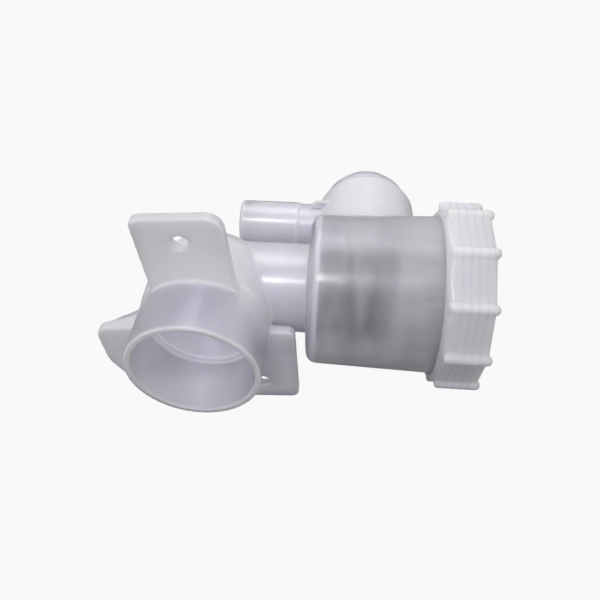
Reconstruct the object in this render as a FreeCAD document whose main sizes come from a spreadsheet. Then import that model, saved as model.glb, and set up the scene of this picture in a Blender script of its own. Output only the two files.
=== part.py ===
import FreeCAD, Part
import math
import os

import Sketcher
from FreeCAD import Placement, Rotation, Vector

# Drain valve of a washing machine: a moulded valve body with a tub socket, a screw cap,
# and the spring-loaded rubber valve with its pull rod inside.
#
# Frame, in millimetres: the origin is the centre of the inlet socket's mouth. The socket's
# axis runs along Y, with the mouth facing -Y. The pipe and the valve chamber share one axis
# along +X, and the outlet spigot leaves the chamber along +Y. +Z is up.

doc = FreeCAD.newDocument("DrainValve")

# Driving dimensions: name, value, what it is
SIZES = [
    ("socket_radius", 21.5, "outside of the inlet socket"),
    ("socket_wall", 2.0, "wall of the inlet socket"),
    ("socket_depth", 20.0, "mouth to the ledge that stops the mating pipe"),
    ("ledge_width", 2.0, "how far the ledge stands in"),
    ("elbow_step", 0.3, "step out from the socket to the elbow"),
    ("elbow_back", 0.3, "how far the elbow's back stands out past the pipe"),
    ("elbow_flat", 1.3, "flat left at the middle of the elbow's domed back"),
    ("lug_face", 19.6, "mouth to the front face of the lugs"),
    ("lug_thick", 3.5, "thickness of the lugs"),
    ("lug_half_width", 13.7, "half the width of a lug"),
    ("lug_corner", 2.6, "corner radius of the lugs"),
    ("lug_big_corner", 5.0, "larger corner radius of the lugs"),
    ("lug_tilt", 4.5, "turn of the three lugs about the socket, degrees"),
    ("lug_hole_radius", 2.6, "screw holes in the lugs"),
    ("hole_to_end", 9.0, "screw hole to the free end of a lug"),
    ("top_lug_end", 45.0, "socket axis to the end of the top lug"),
    ("side_lug_end", 38.6, "socket axis to the end of the side lug"),
    ("side_lug_drop", 14.7, "socket axis down to the middle of the side lug"),
    ("side_cut_length", 5.0, "cut corner of the side lug, along its length"),
    ("side_cut_height", 9.8, "cut corner of the side lug, along its end"),
    ("low_lug_end", 39.1, "socket axis to the end of the low lug"),
    ("low_lug_shift", 16.2, "socket axis across to the middle of the low lug"),
    ("low_lug_top", 3.2, "socket axis down to the top edge of the low lug"),
    ("low_lug_taper", 1.4, "how much narrower the low lug's end is"),
    ("gusset_thick", 2.2, "webs behind the two lower lugs"),
    ("side_gusset_depth", 10.5, "web of the side lug, at the elbow"),
    ("low_gusset_depth", 2.6, "web of the low lug, at the elbow"),
    ("pipe_offset", 39.8, "mouth to the axis of pipe and chamber"),
    ("pipe_radius", 15.5, "outside of the pipe"),
    ("pipe_wall", 2.0, "wall of the pipe"),
    ("chamber_face", 32.3, "socket axis to the chamber's closed end"),
    ("chamber_radius", 25.7, "chamber outside at its closed end"),
    ("chamber_draft", 1.3, "how much wider the chamber is at the neck"),
    ("chamber_round", 2.8, "rounding of the chamber's closed end"),
    ("chamber_wall", 2.3, "wall of the chamber"),
    ("chamber_length", 45.2, "closed end to the neck"),
    ("end_wall", 2.2, "closed end wall of the chamber"),
    ("cavity_draft", 0.5, "how much wider the cavity is at its mouth"),
    ("seat_height", 2.5, "valve seat above the end wall"),
    ("seat_wall", 1.7, "width of the seat's lip"),
    ("neck_wall", 2.1, "wall of the neck under its thread"),
    ("neck_length", 7.7, "neck that carries the thread"),
    ("spigot_place", 52.9, "socket axis to the outlet axis"),
    ("spigot_radius", 16.0, "outside of the outlet spigot, where the hose is held"),
    ("spigot_flare", 2.6, "how much wider the spigot's root is"),
    ("spigot_shoulder", 1.2, "sloped shoulder that stops the hose"),
    ("spigot_wall", 2.2, "wall of the outlet spigot"),
    ("spigot_reach", 53.4, "chamber axis to the outlet mouth"),
    ("spigot_straight", 5.5, "straight hose length of the outlet"),
    ("spigot_lead", 4.7, "tapered end that leads the hose on"),
    ("spigot_taper", 2.8, "how much narrower the spigot's mouth is"),
    ("port_radius", 8.5, "outside of the overflow port"),
    ("port_collar", 0.5, "how far the port's collar stands out"),
    ("port_collar_length", 22.0, "length of the port's collar"),
    ("port_wall", 1.9, "wall of the overflow port"),
    ("port_sink", 0.2, "how far the port is sunk into the chamber's side"),
    ("port_mouth", 5.2, "socket axis to the mouth of the port"),
    ("port_lip", 1.2, "rounding of the port's mouth"),
    ("blend_radius", 1.4, "rounding where the pipe meets the chamber"),
    ("thread_room", 1.6, "room for the thread between neck and cap"),
    ("cap_side", 1.95, "least wall of the cap's side"),
    ("cap_bevel", 2.6, "sloped rear end of the cap, along its axis"),
    ("cap_bevel_depth", 2.5, "sloped rear end of the cap, across"),
    ("cap_skirt", 9.3, "cap behind the chamber's mouth"),
    ("cap_wall", 2.2, "end wall of the cap"),
    ("rib_count", 11, "finger ribs on the cap"),
    ("rib_radius", 1.7, "half the width of a finger rib"),
    ("rib_rise", 1.5, "how far a rib stands out from the cap's corner"),
    ("rib_tip_flat", 0.3, "flat left at the rounded end of a rib"),
    ("rib_overhang", 1.1, "how far the ribs stand past the cap's face"),
    ("rib_start", 108.8, "direction of the first rib, degrees from +Y"),
    ("well_depth", 6.0, "depth of the recess round the pull eye"),
    ("well_wall", 1.9, "wall of that recess, which centres the spring"),
    ("rod_radius", 3.0, "pull rod"),
    ("guide_clearance", 0.25, "pull rod and spring washer in their guides"),
    ("face_gap", 0.1, "play between the cap and what it presses on"),
    ("rim_inset", 0.4, "rim of the rubber valve inside the neck's edge"),
    ("rim_thick", 2.0, "rim of the rubber valve"),
    ("rim_lip_length", 1.6, "lip that centres the rim in the chamber's mouth"),
    ("rim_lip_thick", 1.6, "thickness of that lip"),
    ("rim_lip_clearance", 0.4, "that lip in the chamber's mouth"),
    ("rim_link", 4.8, "last fold to the rim"),
    ("press_ring_thick", 1.5, "slip ring between rim and cap"),
    ("press_ring_step", 1.0, "bore of the slip ring outside the bellows"),
    ("washer_thick", 0.8, "spring washer"),
    ("nose_overlap", 1.8, "how far the nose covers the seat"),
    ("nose_thick", 4.0, "rubber nose that closes the seat"),
    ("nose_chamfer", 0.8, "chamfer of the nose"),
    ("nose_step", 1.0, "bellows inside the nose's edge"),
    ("nose_link", 3.0, "nose to the first fold"),
    ("bellows_wall", 1.2, "rubber wall"),
    ("bellows_depth", 3.6, "depth of a fold"),
    ("bellows_folds", 7, "number of folds"),
    ("button_radius", 5.0, "button that snaps the sleeve into the nose"),
    ("button_head", 1.2, "height of that button's head"),
    ("button_length", 2.3, "whole length of that button"),
    ("button_neck", 4.2, "neck of that button"),
    ("button_clearance", 0.2, "button in the rubber"),
    ("flange_clearance", 0.8, "spring seat of the sleeve inside the bellows"),
    ("flange_thick", 2.2, "spring seat of the sleeve"),
    ("step_length", 1.0, "step on the spring seat that centres the spring"),
    ("sleeve_radius", 8.0, "tube of the guide sleeve"),
    ("sleeve_wall", 1.8, "wall of the guide sleeve"),
    ("valve_travel", 10.0, "opening stroke of the valve"),
    ("rod_travel", 4.0, "further stroke of the rod"),
    ("stop_gap", 0.3, "gap left at a stop"),
    ("bush_flange", 1.2, "flange of the guide bush"),
    ("bush_length", 2.5, "plug of the guide bush"),
    ("fit_gap", 0.05, "pressed-in parts, radial"),
    ("collar_clearance", 0.3, "rod collar in the sleeve"),
    ("collar_thick", 2.0, "rod collar"),
    ("tail_length", 4.5, "rod in front of the collar"),
    ("tail_hole", 0.65, "cross hole for the spring's hook"),
    ("tail_hole_place", 2.7, "collar to that hole"),
    ("eye_thick", 3.0, "flat of the pull eye"),
    ("eye_length", 6.0, "flat of the pull eye"),
    ("eye_hole", 1.5, "hole of the pull eye"),
    ("pin_radius", 0.9, "anchor pin"),
    ("pin_place", 2.4, "sleeve floor to the anchor pin"),
    ("spring_wire", 1.4, "wire of the outer spring"),
    ("spring_inset", 0.7, "outer spring inside the edge of its seat"),
    ("spring_play", 0.5, "outer spring round the parts that centre it"),
    ("spring_turns", 8, "turns of the outer spring"),
    ("coil_gap", 0.5, "gap between turns that lie close"),
    ("inner_radius", 2.6, "inner spring, to the middle of its wire"),
    ("inner_wire", 0.8, "wire of the inner spring"),
    ("inner_turns", 6, "whole turns of the inner spring"),
    ("hook_straight", 0.4, "straight wire between a hook and the turns"),
    ("hook_radius", 1.0, "bends of the inner spring's hooks"),
    ("hook_gap", 0.1, "inner spring to the anchor pin"),
]

sheet = doc.addObject("Spreadsheet::Sheet", "Sizes")
for row, (alias, value, note) in enumerate(SIZES, start=1):
    sheet.set(f"A{row}", alias)
    sheet.set(f"B{row}", str(value))
    sheet.setAlias(f"B{row}", alias)
    sheet.set(f"C{row}", note)
doc.recompute()

# Places and sizes that follow from the driving dimensions
FOLLOWING = [
    ("socket_bore", "Sizes.socket_radius - Sizes.socket_wall"),
    ("elbow_radius", "Sizes.socket_radius + Sizes.elbow_step"),
    ("elbow_round", "elbow_radius - Sizes.elbow_flat"),
    ("elbow_bore", "socket_bore - Sizes.ledge_width"),
    ("elbow_bore_round", "elbow_bore - Sizes.elbow_flat"),
    ("y_lug_back", "Sizes.lug_face + Sizes.lug_thick"),
    ("y_elbow_back", "Sizes.pipe_offset + Sizes.pipe_radius + Sizes.elbow_back"),
    ("y_elbow_bore_end", "y_elbow_back - Sizes.pipe_wall"),
    ("pipe_bore", "Sizes.pipe_radius - Sizes.pipe_wall"),
    ("x_inner_face", "Sizes.chamber_face + Sizes.end_wall"),
    ("x_seat", "x_inner_face + Sizes.seat_height"),
    ("seat_outer", "pipe_bore + Sizes.seat_wall"),
    ("x_neck", "Sizes.chamber_face + Sizes.chamber_length"),
    ("x_mouth", "x_neck + Sizes.neck_length"),
    ("chamber_wide", "Sizes.chamber_radius + Sizes.chamber_draft"),
    ("cavity_radius", "Sizes.chamber_radius - Sizes.chamber_wall"),
    ("cavity_wide", "cavity_radius + Sizes.cavity_draft"),
    ("neck_radius", "cavity_wide + Sizes.neck_wall"),
    ("y_outlet", "Sizes.pipe_offset + Sizes.spigot_reach"),
    ("y_lead", "y_outlet - Sizes.spigot_lead"),
    ("y_spigot_straight", "y_lead - Sizes.spigot_straight"),
    ("y_shoulder", "y_spigot_straight - Sizes.spigot_shoulder"),
    ("y_spigot_root", "Sizes.pipe_offset + Sizes.chamber_radius"),
    ("spigot_mouth", "Sizes.spigot_radius - Sizes.spigot_taper"),
    ("mouth_bore", "spigot_mouth - Sizes.spigot_wall"),
    ("spigot_bore", "Sizes.spigot_radius - Sizes.spigot_wall"),
    ("spigot_root", "Sizes.spigot_radius + Sizes.spigot_flare"),
    ("y_port", "y_spigot_root + Sizes.port_radius - Sizes.port_sink"),
    ("port_outer", "Sizes.port_radius + Sizes.port_collar"),
    ("port_bore", "Sizes.port_radius - Sizes.port_wall"),
    ("x_port_step", "Sizes.port_mouth + Sizes.port_collar_length"),
    ("side_lug_top", "Sizes.lug_half_width - Sizes.side_lug_drop"),
    ("side_lug_low", "-Sizes.lug_half_width - Sizes.side_lug_drop"),
    ("side_cut_top", "side_lug_low + Sizes.side_cut_height"),
    ("side_cut_near", "Sizes.side_cut_length - Sizes.side_lug_end"),
    ("low_lug_near", "Sizes.low_lug_shift - Sizes.lug_half_width"),
    ("low_lug_far", "Sizes.low_lug_shift + Sizes.lug_half_width"),
    ("side_gusset_tip", "Sizes.lug_big_corner - Sizes.side_lug_end"),
    ("low_gusset_tip", "low_lug_far - Sizes.lug_corner"),
    ("low_lug_tip", "low_lug_far - Sizes.low_lug_taper"),
    ("top_hole", "Sizes.top_lug_end - Sizes.hole_to_end"),
    ("side_hole", "Sizes.hole_to_end - Sizes.side_lug_end"),
    ("low_hole", "Sizes.hole_to_end - Sizes.low_lug_end"),
    ("y_side_gusset", "y_lug_back + Sizes.side_gusset_depth"),
    ("y_low_gusset", "y_lug_back + Sizes.low_gusset_depth"),
    ("x_rim_back", "x_mouth + Sizes.rim_thick"),
    ("x_ring_back", "x_rim_back + Sizes.press_ring_thick"),
    ("x_cap_inner", "x_ring_back + Sizes.face_gap"),
    ("x_cap_face", "x_cap_inner + Sizes.cap_wall"),
    ("x_cap_back", "x_mouth - Sizes.cap_skirt"),
    ("x_bevel_end", "x_cap_back + Sizes.cap_bevel"),
    ("cap_length", "x_cap_face - x_cap_back"),
    ("cap_bore", "neck_radius + Sizes.thread_room"),
    ("cap_corner", "(cap_bore + Sizes.cap_side) / cos(180deg / Sizes.rib_count)"),
    ("cap_back_radius", "cap_corner - Sizes.cap_bevel_depth"),
    ("rib_reach", "cap_corner + Sizes.rib_rise"),
    ("rib_centre", "rib_reach - Sizes.rib_radius"),
    ("rib_tip", "Sizes.rib_radius - Sizes.rib_tip_flat"),
    ("x_rib_end", "x_cap_face + Sizes.rib_overhang"),
    ("y_rib", "Sizes.pipe_offset + rib_centre * cos(Sizes.rib_start * 1deg)"),
    ("z_rib", "rib_centre * sin(Sizes.rib_start * 1deg)"),
    ("x_nose_back", "x_seat + Sizes.nose_thick"),
    ("nose_radius", "seat_outer + Sizes.nose_overlap"),
    ("nose_face", "nose_radius - Sizes.nose_chamfer"),
    ("x_nose_edge", "x_seat + Sizes.nose_chamfer"),
    ("bellows_root", "nose_radius - Sizes.nose_step"),
    ("bellows_inner", "bellows_root - Sizes.bellows_wall"),
    ("x_first_fold", "x_nose_back + Sizes.nose_link"),
    ("x_last_fold", "x_mouth - Sizes.rim_link"),
    ("rim_radius", "neck_radius - Sizes.rim_inset"),
    ("rim_lip", "cavity_wide - Sizes.rim_lip_clearance"),
    ("rim_lip_inner", "rim_lip - Sizes.rim_lip_thick"),
    ("x_rim_lip", "x_mouth - Sizes.rim_lip_length"),
    ("press_ring_bore", "bellows_root + Sizes.press_ring_step"),
    ("x_washer_back", "x_cap_inner - Sizes.face_gap"),
    ("x_washer", "x_washer_back - Sizes.washer_thick"),
    ("flange_radius", "bellows_inner - Sizes.flange_clearance"),
    ("spring_radius", "flange_radius - Sizes.spring_inset - Sizes.spring_wire / 2"),
    ("centring_radius", "spring_radius - Sizes.spring_wire / 2 - Sizes.spring_play"),
    ("washer_bore", "centring_radius + Sizes.guide_clearance"),
    ("x_well_floor", "x_cap_face - Sizes.well_depth"),
    ("x_well_back", "x_well_floor - Sizes.cap_wall"),
    ("well_radius", "centring_radius - Sizes.well_wall"),
    ("rod_hole", "Sizes.rod_radius + Sizes.guide_clearance"),
    ("nose_recess", "Sizes.button_radius + Sizes.button_clearance"),
    ("nose_hole", "Sizes.button_neck + Sizes.button_clearance"),
    ("x_flange", "x_nose_back + Sizes.button_clearance"),
    ("x_button", "x_flange - Sizes.button_length"),
    ("x_button_head", "x_button + Sizes.button_head"),
    ("x_recess", "x_button - Sizes.button_clearance"),
    ("x_recess_lip", "x_button_head + Sizes.button_clearance"),
    ("x_sleeve_floor", "x_flange + Sizes.flange_thick"),
    ("x_step", "x_sleeve_floor + Sizes.step_length"),
    ("x_sleeve_end", "x_well_back - Sizes.valve_travel - Sizes.stop_gap"),
    ("x_bush_seat", "x_sleeve_end - Sizes.bush_flange"),
    ("x_bush_inner", "x_bush_seat - Sizes.bush_length"),
    ("sleeve_bore", "Sizes.sleeve_radius - Sizes.sleeve_wall"),
    ("plug_radius", "sleeve_bore - Sizes.fit_gap"),
    ("x_collar_back", "x_bush_inner - Sizes.rod_travel - Sizes.stop_gap"),
    ("x_collar", "x_collar_back - Sizes.collar_thick"),
    ("collar_radius", "sleeve_bore - Sizes.collar_clearance"),
    ("x_tail", "x_collar - Sizes.tail_length"),
    ("x_tail_hole", "x_collar - Sizes.tail_hole_place"),
    ("tail_radius", "Sizes.inner_radius - Sizes.inner_wire / 2 - Sizes.spring_play"),
    ("x_eye", "x_well_floor + Sizes.face_gap"),
    ("x_eye_end", "x_eye + Sizes.eye_length"),
    ("x_eye_hole", "x_eye_end - Sizes.rod_radius"),
    ("eye_round", "Sizes.rod_radius - Sizes.face_gap"),
    ("eye_half", "Sizes.eye_thick / 2"),
    ("rod_width", "2 * Sizes.rod_radius"),
    ("x_pin", "x_sleeve_floor + Sizes.pin_place"),
    ("pin_length", "2 * Sizes.sleeve_radius"),
    ("pin_hole", "Sizes.pin_radius + Sizes.fit_gap"),
]

places = doc.addObject("App::VarSet", "Places")
for name, formula in FOLLOWING:
    places.addProperty("App::PropertyFloat", name)
    places.setExpression(name, formula)
doc.recompute()

DRIVING = {alias for alias, value, note in SIZES}


def size(name):
    """Value of a named size or place. A leading minus sign negates it, and zero is 0."""
    if name == "zero":
        return 0.0
    if name.startswith("-"):
        return -size(name[1:])
    return float(getattr(sheet if name in DRIVING else places, name))


def formula_of(name):
    """The expression that ties a property to a named size or place."""
    if name.startswith("-"):
        return "-" + formula_of(name[1:])
    return ("Sizes." if name in DRIVING else "Places.") + name


def new_body(label):
    body = doc.addObject("PartDesign::Body", label)
    body.Label = label
    return body


def new_sketch(body, name, role, shift):
    """A sketch on one of the body's origin planes, shifted by named sizes."""
    sketch = body.newObject("Sketcher::SketchObject", name)
    plane = next(f for f in body.Origin.OriginFeatures if f.Role == role)
    sketch.AttachmentSupport = (plane, "")
    sketch.MapMode = "FlatFace"
    for direction, distance in shift.items():
        sketch.setExpression(f"AttachmentOffset.Base.{direction}", formula_of(distance))
    return sketch


def bind(sketch, constraint, name):
    index = sketch.addConstraint(constraint)
    sketch.setExpression(f"Constraints[{index}]", formula_of(name))


def pin_point(sketch, geometry, end, across, up):
    """Fixes a point of the sketch at two named distances from the sketch's origin."""
    origin = (-1, 1)
    for axis, kind, name in ((-2, "DistanceX", across), (-1, "DistanceY", up)):
        if name == "zero":
            sketch.addConstraint(Sketcher.Constraint("PointOnObject", geometry, end, axis))
        else:
            bind(sketch, Sketcher.Constraint(kind, *origin, geometry, end, size(name)), name)


def outline(sketch, corners):
    """A closed outline through corners named (across, up), or (across, up, rounding)."""
    count = len(corners)
    at = [Vector(size(corner[0]), size(corner[1]), 0) for corner in corners]
    starts, ends, arcs = list(at), list(at), {}
    for i, corner in enumerate(corners):
        if len(corner) == 3:
            radius = size(corner[2])
            before = (at[i - 1] - at[i]).normalize()
            after = (at[(i + 1) % count] - at[i]).normalize()
            half = before.getAngle(after) / 2
            inward = (before + after).normalize()
            ends[i] = at[i] + before * (radius / math.tan(half))
            starts[i] = at[i] + after * (radius / math.tan(half))
            middle = at[i] + inward * (radius / math.sin(half) - radius)
            arcs[i] = Part.Arc(ends[i], middle, starts[i])
    lines = []
    for i in range(count):
        segment = Part.LineSegment(starts[i], ends[(i + 1) % count])
        lines.append(sketch.addGeometry(segment, False))
    for i, corner in enumerate(corners):
        before, after = lines[i - 1], lines[i]
        if i not in arcs:
            sketch.addConstraint(Sketcher.Constraint("Coincident", before, 2, after, 1))
            pin_point(sketch, after, 1, corner[0], corner[1])
            continue
        arc = sketch.addGeometry(arcs[i], False)
        arc_start = sketch.getPoint(arc, 1)
        first = 1 if arc_start.distanceToPoint(ends[i]) < arc_start.distanceToPoint(starts[i]) else 2
        sketch.addConstraint(Sketcher.Constraint("Tangent", before, 2, arc, first))
        sketch.addConstraint(Sketcher.Constraint("Tangent", arc, 3 - first, after, 1))
        bind(sketch, Sketcher.Constraint("Radius", arc, size(corner[2])), corner[2])
        point = sketch.addGeometry(Part.Point(at[i]), True)
        pin_point(sketch, point, 1, corner[0], corner[1])
        sketch.addConstraint(Sketcher.Constraint("PointOnObject", point, 1, before))
        sketch.addConstraint(Sketcher.Constraint("PointOnObject", point, 1, after))
    return sketch


def circle(sketch, across, up, radius):
    """A circle of a named radius at a named place, for a hole."""
    centre = Vector(size(across), size(up), 0)
    ring = sketch.addGeometry(Part.Circle(centre, Vector(0, 0, 1), size(radius)), False)
    bind(sketch, Sketcher.Constraint("Radius", ring, size(radius)), radius)
    pin_point(sketch, ring, 3, across, up)


def turned(body, name, corners, shift, about="H_Axis", cut=False):
    """A turned form: H_Axis turns the outline about X, V_Axis about Y."""
    sketch = outline(new_sketch(body, name + "_outline", "XY_Plane", shift), corners)
    kind = "PartDesign::Groove" if cut else "PartDesign::Revolution"
    feature = body.newObject(kind, name)
    feature.Profile = sketch
    feature.ReferenceAxis = (sketch, [about])
    feature.Angle = 360
    doc.recompute()
    return feature


def pulled(body, name, sketch, length, cut=False, midplane=False, reverse=False):
    """A pad or pocket of a named length."""
    feature = body.newObject("PartDesign::Pocket" if cut else "PartDesign::Pad", name)
    feature.Profile = sketch
    feature.setExpression("Length", formula_of(length))
    feature.Midplane = midplane
    feature.Reversed = reverse
    doc.recompute()
    return feature


def rounded(body, name, base, edge_names, radius):
    """A fillet of a named radius on edges of the last feature."""
    feature = body.newObject("PartDesign::Fillet", name)
    feature.Base = (base, edge_names)
    feature.setExpression("Radius", formula_of(radius))
    doc.recompute()
    return feature


def edges_where(feature, test):
    """Names of a feature's edges whose every sampled point passes the test."""
    names = []
    for number, edge in enumerate(feature.Shape.Edges, start=1):
        if all(test(point) for point in edge.discretize(5)):
            names.append(f"Edge{number}")
    return names


# On the common axis of pipe, chamber and cap
on_axis = {"y": "pipe_offset"}

# Square to the socket's axis, at the front face of the lugs
on_lugs = {"z": "-lug_face"}

at_socket = {}


def add_lug(body, name, corners):
    """One screw lug, a flat tab square to the socket's axis and tilted about it."""
    sketch = new_sketch(body, name + "_outline", "XZ_Plane", on_lugs)
    tilt(sketch, Vector(0, 0, 1))
    return pulled(body, name, outline(sketch, corners), "lug_thick", reverse=True)


def tilt(sketch, axis):
    sketch.AttachmentOffset = Placement(Vector(), Rotation(axis, size("lug_tilt")))
    sketch.setExpression("AttachmentOffset.Rotation.Angle", formula_of("lug_tilt"))
    doc.recompute()


def add_gusset(body, name, level, tip, depth):
    """A three-cornered web behind a lug, flush with the lug's top edge."""
    sketch = new_sketch(body, name + "_outline", "XY_Plane", {})
    tilt(sketch, Vector(0, -1, 0))
    up = formula_of(level)
    sketch.setExpression("AttachmentOffset.Base.x", f"-({up}) * sin(Sizes.lug_tilt * 1deg)")
    sketch.setExpression("AttachmentOffset.Base.z", f"({up}) * cos(Sizes.lug_tilt * 1deg)")
    outline(sketch, [(tip, "y_lug_back"), ("zero", "y_lug_back"), ("zero", depth)])
    return pulled(body, name, sketch, "gusset_thick", reverse=True)


def off_pipe(point):
    """Distance of a point from the pipe's surface."""
    return abs(math.hypot(point.y - size("pipe_offset"), point.z) - size("pipe_radius"))


def make_valve_body():
    """The moulded body: inlet socket, elbow, pipe, chamber, outlet, overflow and lugs."""
    body = new_body("valve_body")
    turned(body, "chamber", [
        ("chamber_face", "zero"),
        ("chamber_face", "chamber_radius", "chamber_round"),
        ("x_neck", "chamber_wide"),
        ("x_neck", "neck_radius"),
        ("x_mouth", "neck_radius"),
        ("x_mouth", "zero"),
    ], on_axis)
    pipe = turned(body, "pipe", [
        ("zero", "zero"),
        ("zero", "pipe_radius"),
        ("x_inner_face", "pipe_radius"),
        ("x_inner_face", "zero"),
    ], on_axis)
    seam = edges_where(pipe, lambda p: off_pipe(p) < 0.001 and p.x > size("socket_radius"))
    rounded(body, "pipe_blend", pipe, seam, "blend_radius")
    turned(body, "socket_and_elbow", [
        ("zero", "zero"),
        ("socket_radius", "zero"),
        ("socket_radius", "y_lug_back"),
        ("elbow_radius", "y_lug_back"),
        ("elbow_radius", "y_elbow_back", "elbow_round"),
        ("zero", "y_elbow_back"),
    ], at_socket, about="V_Axis")
    turned(body, "outlet_spigot", [
        ("zero", "pipe_offset"),
        ("spigot_root", "pipe_offset"),
        ("spigot_root", "y_shoulder"),
        ("spigot_radius", "y_spigot_straight"),
        ("spigot_radius", "y_lead"),
        ("spigot_mouth", "y_outlet"),
        ("zero", "y_outlet"),
    ], {"x": "spigot_place"}, about="V_Axis")
    turned(body, "overflow_port", [
        ("port_mouth", "zero"),
        ("port_mouth", "port_outer", "port_lip"),
        ("x_port_step", "port_outer"),
        ("x_port_step", "port_radius"),
        ("spigot_place", "port_radius"),
        ("spigot_place", "zero"),
    ], {"y": "y_port"})
    add_lug(body, "top_lug", [
        ("-lug_half_width", "zero"),
        ("lug_half_width", "zero"),
        ("lug_half_width", "top_lug_end", "lug_big_corner"),
        ("-lug_half_width", "top_lug_end", "lug_corner"),
    ])
    add_lug(body, "side_lug", [
        ("zero", "side_lug_top"),
        ("-side_lug_end", "side_lug_top", "lug_big_corner"),
        ("-side_lug_end", "side_cut_top", "lug_corner"),
        ("side_cut_near", "side_lug_low", "lug_corner"),
        ("zero", "side_lug_low"),
    ])
    add_lug(body, "low_lug", [
        ("low_lug_near", "-low_lug_top"),
        ("low_lug_near", "-low_lug_end", "lug_corner"),
        ("low_lug_tip", "-low_lug_end", "lug_corner"),
        ("low_lug_far", "-low_lug_top", "lug_corner"),
    ])
    add_gusset(body, "side_gusset", "side_lug_top", "side_gusset_tip", "y_side_gusset")
    add_gusset(body, "low_gusset", "-low_lug_top", "low_gusset_tip", "y_low_gusset")
    turned(body, "socket_bore_cut", [
        ("zero", "zero"),
        ("socket_bore", "zero"),
        ("socket_bore", "socket_depth"),
        ("elbow_bore", "socket_depth"),
        ("elbow_bore", "y_elbow_bore_end", "elbow_bore_round"),
        ("zero", "y_elbow_bore_end"),
    ], at_socket, about="V_Axis", cut=True)
    turned(body, "cavity_cut", [
        ("x_seat", "zero"),
        ("x_seat", "seat_outer"),
        ("x_inner_face", "seat_outer"),
        ("x_inner_face", "cavity_radius"),
        ("x_mouth", "cavity_wide"),
        ("x_mouth", "zero"),
    ], on_axis, cut=True)
    turned(body, "pipe_bore_cut", [
        ("zero", "zero"),
        ("zero", "pipe_bore"),
        ("x_seat", "pipe_bore"),
        ("x_seat", "zero"),
    ], on_axis, cut=True)
    turned(body, "outlet_cut", [
        ("zero", "pipe_offset"),
        ("spigot_bore", "pipe_offset"),
        ("spigot_bore", "y_lead"),
        ("mouth_bore", "y_outlet"),
        ("zero", "y_outlet"),
    ], {"x": "spigot_place"}, about="V_Axis", cut=True)
    turned(body, "port_cut", [
        ("port_mouth", "zero"),
        ("port_mouth", "port_bore"),
        ("spigot_place", "port_bore"),
        ("spigot_place", "zero"),
    ], {"y": "y_port"}, cut=True)
    holes = new_sketch(body, "lug_holes_outline", "XZ_Plane", on_lugs)
    tilt(holes, Vector(0, 0, 1))
    circle(holes, "zero", "top_hole", "lug_hole_radius")
    circle(holes, "side_hole", "-side_lug_drop", "lug_hole_radius")
    circle(holes, "low_lug_shift", "low_hole", "lug_hole_radius")
    pulled(body, "lug_holes", holes, "lug_thick", cut=True)
    return body


def add_faceted_side(body):
    """The cap's blank: a regular polygon with one corner for each finger rib."""
    sketch = new_sketch(body, "side_outline", "YZ_Plane", {"x": "pipe_offset", "z": "x_cap_back"})
    count = int(size("rib_count"))
    radius = size("cap_corner")
    turns = [math.radians(size("rib_start") + 360 * k / count) for k in range(count)]
    corners = [Vector(radius * math.cos(a), radius * math.sin(a), 0) for a in turns]
    ring = sketch.addGeometry(Part.Circle(Vector(), Vector(0, 0, 1), radius), True)
    bind(sketch, Sketcher.Constraint("Radius", ring, radius), "cap_corner")
    sketch.addConstraint(Sketcher.Constraint("Coincident", ring, 3, -1, 1))
    sides = []
    for k in range(count):
        segment = Part.LineSegment(corners[k], corners[(k + 1) % count])
        sides.append(sketch.addGeometry(segment, False))
    for k in range(count):
        sketch.addConstraint(Sketcher.Constraint("Coincident", sides[k - 1], 2, sides[k], 1))
        sketch.addConstraint(Sketcher.Constraint("PointOnObject", sides[k], 1, ring))
        if k > 0:
            sketch.addConstraint(Sketcher.Constraint("Equal", sides[0], sides[k]))
    spoke = sketch.addGeometry(Part.LineSegment(Vector(), corners[0]), True)
    sketch.addConstraint(Sketcher.Constraint("Coincident", spoke, 1, -1, 1))
    sketch.addConstraint(Sketcher.Constraint("Coincident", spoke, 2, sides[0], 1))
    turn = sketch.addConstraint(Sketcher.Constraint("Angle", -1, 1, spoke, 1, turns[0]))
    sketch.setExpression(f"Constraints[{turn}]", "Sizes.rib_start * 1deg")
    pulled(body, "side", sketch, "cap_length")
    return sketch


def make_screw_cap():
    """The cap: faceted side with a rib at each corner, and a recess round the pull eye."""
    body = new_body("screw_cap")
    side_outline = add_faceted_side(body)
    turned(body, "bevel", [
        ("x_cap_back", "cap_back_radius"),
        ("x_bevel_end", "cap_corner"),
        ("x_cap_back", "cap_corner"),
    ], on_axis, cut=True)
    rib = turned(body, "rib", [
        ("x_bevel_end", "zero"),
        ("x_bevel_end", "rib_radius"),
        ("x_rib_end", "rib_radius", "rib_tip"),
        ("x_rib_end", "zero"),
    ], {"y": "y_rib", "z": "z_rib"})
    ribs = body.newObject("PartDesign::PolarPattern", "ribs")
    ribs.Originals = [rib]
    ribs.Axis = (side_outline, ["N_Axis"])
    ribs.Angle = 360
    ribs.setExpression("Occurrences", formula_of("rib_count"))
    body.Tip = ribs
    doc.recompute()
    turned(body, "inside", [
        ("x_cap_back", "zero"),
        ("x_cap_back", "cap_bore"),
        ("x_cap_inner", "cap_bore"),
        ("x_cap_inner", "centring_radius"),
        ("x_well_back", "centring_radius"),
        ("x_well_back", "zero"),
    ], on_axis, cut=True)
    turned(body, "well", [
        ("x_well_back", "zero"),
        ("x_well_back", "rod_hole"),
        ("x_well_floor", "rod_hole"),
        ("x_well_floor", "well_radius"),
        ("x_cap_face", "well_radius"),
        ("x_cap_face", "zero"),
    ], on_axis, cut=True)
    return body


def make_ring(label, start, end, bore, outside):
    """A flat ring on the valve's axis."""
    body = new_body(label)
    turned(body, label + "_form", [
        (start, bore),
        (start, outside),
        (end, outside),
        (end, bore),
    ], on_axis)
    return body


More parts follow.
